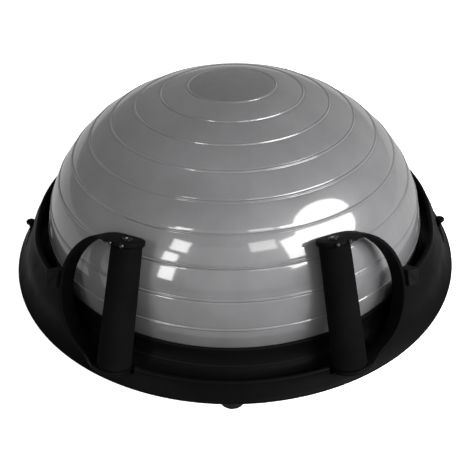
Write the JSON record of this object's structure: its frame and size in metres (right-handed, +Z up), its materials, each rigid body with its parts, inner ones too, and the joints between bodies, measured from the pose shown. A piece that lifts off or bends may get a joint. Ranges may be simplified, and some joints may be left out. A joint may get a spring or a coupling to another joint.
{
  "type": "balance dome trainer",
  "caption": "Inflated half dome on a round rigid base with D-shaped grips round its rim, for standing, kneeling and push-up balance exercise on either side.",
  "frame": {"origin": "on the floor under the middle of the dome, level with the undersides of the feet", "axes": "+Z up through the dome's crown; -Y is the front, between the front pair of grips; +X is the trainer's right-hand shoulder as seen from the front"},
  "size_m": [0.6, 0.6, 0.2545],
  "materials": {
    "black_plastic": "satin black moulding",
    "grey_vinyl": "satin-gloss grey PVC",
    "black_grip": "matte black soft grip",
    "black_rubber": "matte black rubber",
    "dark_steel": "dark zinc-plated steel"
  },
  "bodies": {
    "trainer": {"base_shell": "black_plastic", "platform_plate": "black_plastic", "dome_bladder": "grey_vinyl", "dome_clamp_ring": "black_plastic", "valve_body": "black_rubber", "band_post_left": "black_plastic", "band_post_right": "black_plastic", "rubber_foot_1": "black_rubber", "rubber_foot_2": "black_rubber", "rubber_foot_3": "black_rubber", "rubber_foot_4": "black_rubber", "rubber_foot_5": "black_rubber", "rubber_foot_6": "black_rubber", "foot_screw_1": "dark_steel", "foot_screw_2": "dark_steel", "foot_screw_3": "dark_steel", "foot_screw_4": "dark_steel", "foot_screw_5": "dark_steel", "foot_screw_6": "dark_steel", "handle_bow_front_right": "black_plastic", "handle_bow_front_left": "black_plastic", "handle_bow_back_right": "black_plastic", "handle_bow_back_left": "black_plastic", "grip_core_front_right": "black_plastic", "grip_core_front_left": "black_plastic", "grip_core_back_right": "black_plastic", "grip_core_back_left": "black_plastic", "grip_bolt_front_right": "dark_steel", "grip_bolt_front_left": "dark_steel", "grip_bolt_back_right": "dark_steel", "grip_bolt_back_left": "dark_steel", "bow_bracket_front_right": "black_plastic", "bow_bracket_front_left": "black_plastic", "bow_bracket_back_right": "black_plastic", "bow_bracket_back_left": "black_plastic", "cap_screw_a_front_right": "dark_steel", "cap_screw_a_front_left": "dark_steel", "cap_screw_a_back_right": "dark_steel", "cap_screw_a_back_left": "dark_steel", "cap_screw_b_front_right": "dark_steel", "cap_screw_b_front_left": "dark_steel", "cap_screw_b_back_right": "dark_steel", "cap_screw_b_back_left": "dark_steel"},
    "valve_plug": {"valve_plug": "black_plastic"},
    "grip_front_right": {"grip_sleeve_front_right": "black_grip"},
    "grip_front_left": {"grip_sleeve_front_left": "black_grip"},
    "grip_back_right": {"grip_sleeve_back_right": "black_grip"},
    "grip_back_left": {"grip_sleeve_back_left": "black_grip"}
  },
  "joints": [
    {"name": "valve_plug_pull", "type": "slide", "parent": "trainer", "child": "valve_plug", "axis": [0, 0, -1], "range_m": [0, 0.022]},
    {"name": "grip_turn_front_right", "type": "hinge", "parent": "trainer", "child": "grip_front_right", "pos_m": [0.11377, -0.23816, 0.111], "axis": [-0.154, 0.4177, 0.8955], "continuous": true},
    {"name": "grip_turn_front_left", "type": "hinge", "parent": "trainer", "child": "grip_front_left", "pos_m": [-0.11377, -0.23816, 0.111], "axis": [0.154, 0.4177, 0.8955], "continuous": true},
    {"name": "grip_turn_back_right", "type": "hinge", "parent": "trainer", "child": "grip_back_right", "pos_m": [0.07731, 0.25236, 0.1075], "axis": [-0.0906, -0.4358, 0.8955], "continuous": true},
    {"name": "grip_turn_back_left", "type": "hinge", "parent": "trainer", "child": "grip_back_left", "pos_m": [-0.07731, 0.25236, 0.1075], "axis": [0.0906, -0.4358, 0.8955], "continuous": true}
  ]
}
